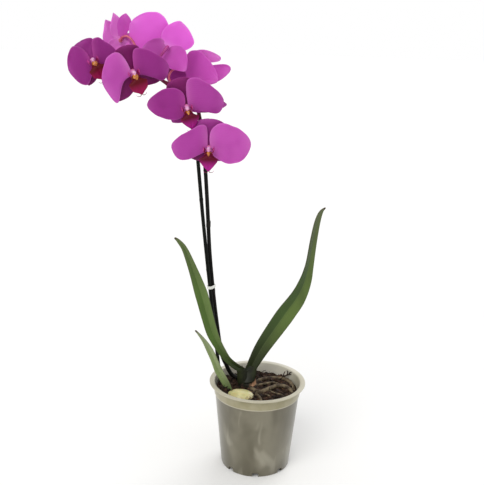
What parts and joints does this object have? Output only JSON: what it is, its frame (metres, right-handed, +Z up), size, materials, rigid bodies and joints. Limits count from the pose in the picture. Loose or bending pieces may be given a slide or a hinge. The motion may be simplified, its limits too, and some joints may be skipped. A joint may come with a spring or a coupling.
{
  "type": "moth orchid in a nursery pot",
  "caption": "Flowering moth orchid with strap leaves, an arching flower spike tied to a stake, and aerial roots in bark, in a translucent tapered nursery pot.",
  "frame": {"origin": "middle of the flat boss under the pot's floor, on the surface that the pot stands on", "axes": "+Z up along the pot's axis, -Y the side that the front row of flowers faces, +X to the right of someone looking at those flowers"},
  "size_m": [0.2975, 0.12, 0.5529],
  "materials": {
    "pot_plastic": "milky translucent polypropylene, slightly glossy, with the bark and roots showing through as a blur",
    "bark": "rough dark brown bark chips and fibres",
    "root": "matte grey-brown aerial roots and a short stem",
    "leaf": "dark green waxy leaf with a soft sheen, paler on the left half",
    "young_leaf": "pale green waxy young leaf",
    "old_leaf": "cut yellow-cream leaf base with small brown specks",
    "spike": "nearly black green-purple stem, slightly waxy",
    "stake": "nearly black green support stake",
    "clip": "white plastic tie",
    "petal": "magenta-purple velvety petals and sepals with paler edges, soft light coming through",
    "lip": "dark crimson lip with a golden-brown throat",
    "stalk": "pale pink flower stalk and column"
  },
  "bodies": {
    "root": {"pot": "pot_plastic", "bark_mix": "bark", "root_crown": "root", "leaf_left": "leaf", "leaf_right": "leaf", "leaf_small": "young_leaf", "leaf_stub": "old_leaf", "flower_spike": "spike", "support_stake": "stake", "stem_clip": "clip", "flower_1_petal_right": "petal", "flower_1_petal_left": "petal", "flower_1_sepal_top": "petal", "flower_1_sepal_left": "petal", "flower_1_sepal_right": "petal", "flower_1_lip": "lip", "flower_1_stalk": "stalk", "flower_2_petal_right": "petal", "flower_2_petal_left": "petal", "flower_2_sepal_top": "petal", "flower_2_sepal_left": "petal", "flower_2_sepal_right": "petal", "flower_2_lip": "lip", "flower_2_stalk": "stalk", "flower_3_petal_right": "petal", "flower_3_petal_left": "petal", "flower_3_sepal_top": "petal", "flower_3_sepal_left": "petal", "flower_3_sepal_right": "petal", "flower_3_lip": "lip", "flower_3_stalk": "stalk", "flower_4_petal_right": "petal", "flower_4_petal_left": "petal", "flower_4_sepal_top": "petal", "flower_4_sepal_left": "petal", "flower_4_sepal_right": "petal", "flower_4_lip": "lip", "flower_4_stalk": "stalk", "flower_5_petal_right": "petal", "flower_5_petal_left": "petal", "flower_5_sepal_top": "petal", "flower_5_sepal_left": "petal", "flower_5_sepal_right": "petal", "flower_5_lip": "lip", "flower_5_stalk": "stalk", "flower_6_petal_right": "petal", "flower_6_petal_left": "petal", "flower_6_sepal_top": "petal", "flower_6_sepal_left": "petal", "flower_6_sepal_right": "petal", "flower_6_lip": "lip", "flower_6_stalk": "stalk", "flower_7_petal_right": "petal", "flower_7_petal_left": "petal", "flower_7_sepal_top": "petal", "flower_7_sepal_left": "petal", "flower_7_sepal_right": "petal", "flower_7_lip": "lip", "flower_7_stalk": "stalk"}
  },
  "joints": []
}
